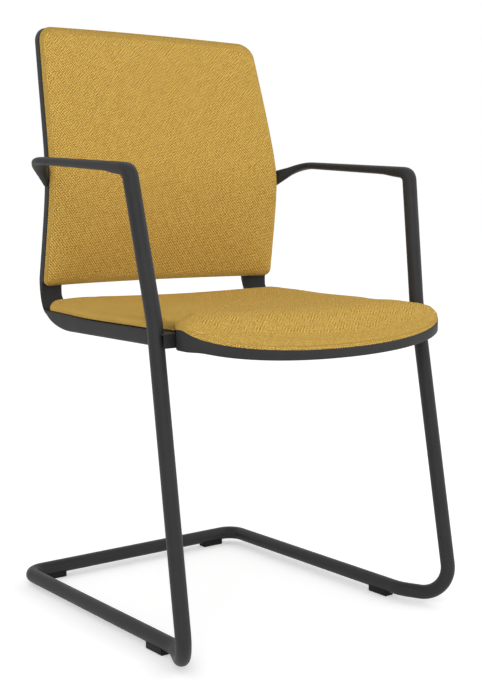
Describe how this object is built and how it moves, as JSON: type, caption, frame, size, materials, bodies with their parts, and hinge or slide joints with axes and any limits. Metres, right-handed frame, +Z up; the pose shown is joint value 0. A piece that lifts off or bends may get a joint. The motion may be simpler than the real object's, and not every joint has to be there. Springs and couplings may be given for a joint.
{
  "type": "sled base visitor chair",
  "caption": "Visitor chair on a bent-tube cantilever sled frame with loop arms, upholstered seat and an upholstered back on a moulded frame with side rails.",
  "frame": {"origin": "on the floor under the middle of the chair's bounding box, in the plane of symmetry", "axes": "+Z up, -Y the way the sitter faces, +X the sitter's left"},
  "size_m": [0.5378, 0.5562, 0.892],
  "materials": {
    "coated_steel": "black powder coat with a fine texture",
    "black_plastic": "black glass-filled nylon, matt moulded surface",
    "glide_plastic": "black nylon, plain moulded surface",
    "upholstery": "mustard woven wool-blend fabric with a fine diagonal fleck",
    "plywood": "plain pressed plywood",
    "plated_steel": "zinc plated"
  },
  "bodies": {
    "root": {"sled_tube": "coated_steel", "seat_cross_beam": "coated_steel", "seat_support_bar_left": "coated_steel", "seat_support_bar_right": "coated_steel", "seat_rear_cross_bar": "coated_steel", "seat_pan": "black_plastic", "seat_board": "plywood", "seat_cushion": "upholstery", "back_frame": "black_plastic", "back_board": "plywood", "back_cushion": "upholstery", "arm_left": "black_plastic", "arm_right": "black_plastic", "arm_plug_left": "plated_steel", "arm_plug_right": "plated_steel", "glide_front_left": "glide_plastic", "glide_front_right": "glide_plastic", "glide_rear_left": "glide_plastic", "glide_rear_right": "glide_plastic", "glide_screw_front_left": "plated_steel", "glide_screw_front_right": "plated_steel", "glide_screw_rear_left": "plated_steel", "glide_screw_rear_right": "plated_steel", "rail_bolt_1_left": "plated_steel", "rail_bolt_1_right": "plated_steel", "rail_bolt_2_left": "plated_steel", "rail_bolt_2_right": "plated_steel", "seat_screw_1_left": "plated_steel", "seat_screw_1_right": "plated_steel", "seat_screw_2_left": "plated_steel", "seat_screw_2_right": "plated_steel", "arm_screw_1_left": "plated_steel", "arm_screw_1_right": "plated_steel", "arm_screw_2_left": "plated_steel", "arm_screw_2_right": "plated_steel", "back_clip_1_left": "glide_plastic", "back_clip_1_right": "glide_plastic", "back_clip_2_left": "glide_plastic", "back_clip_2_right": "glide_plastic"}
  },
  "joints": []
}
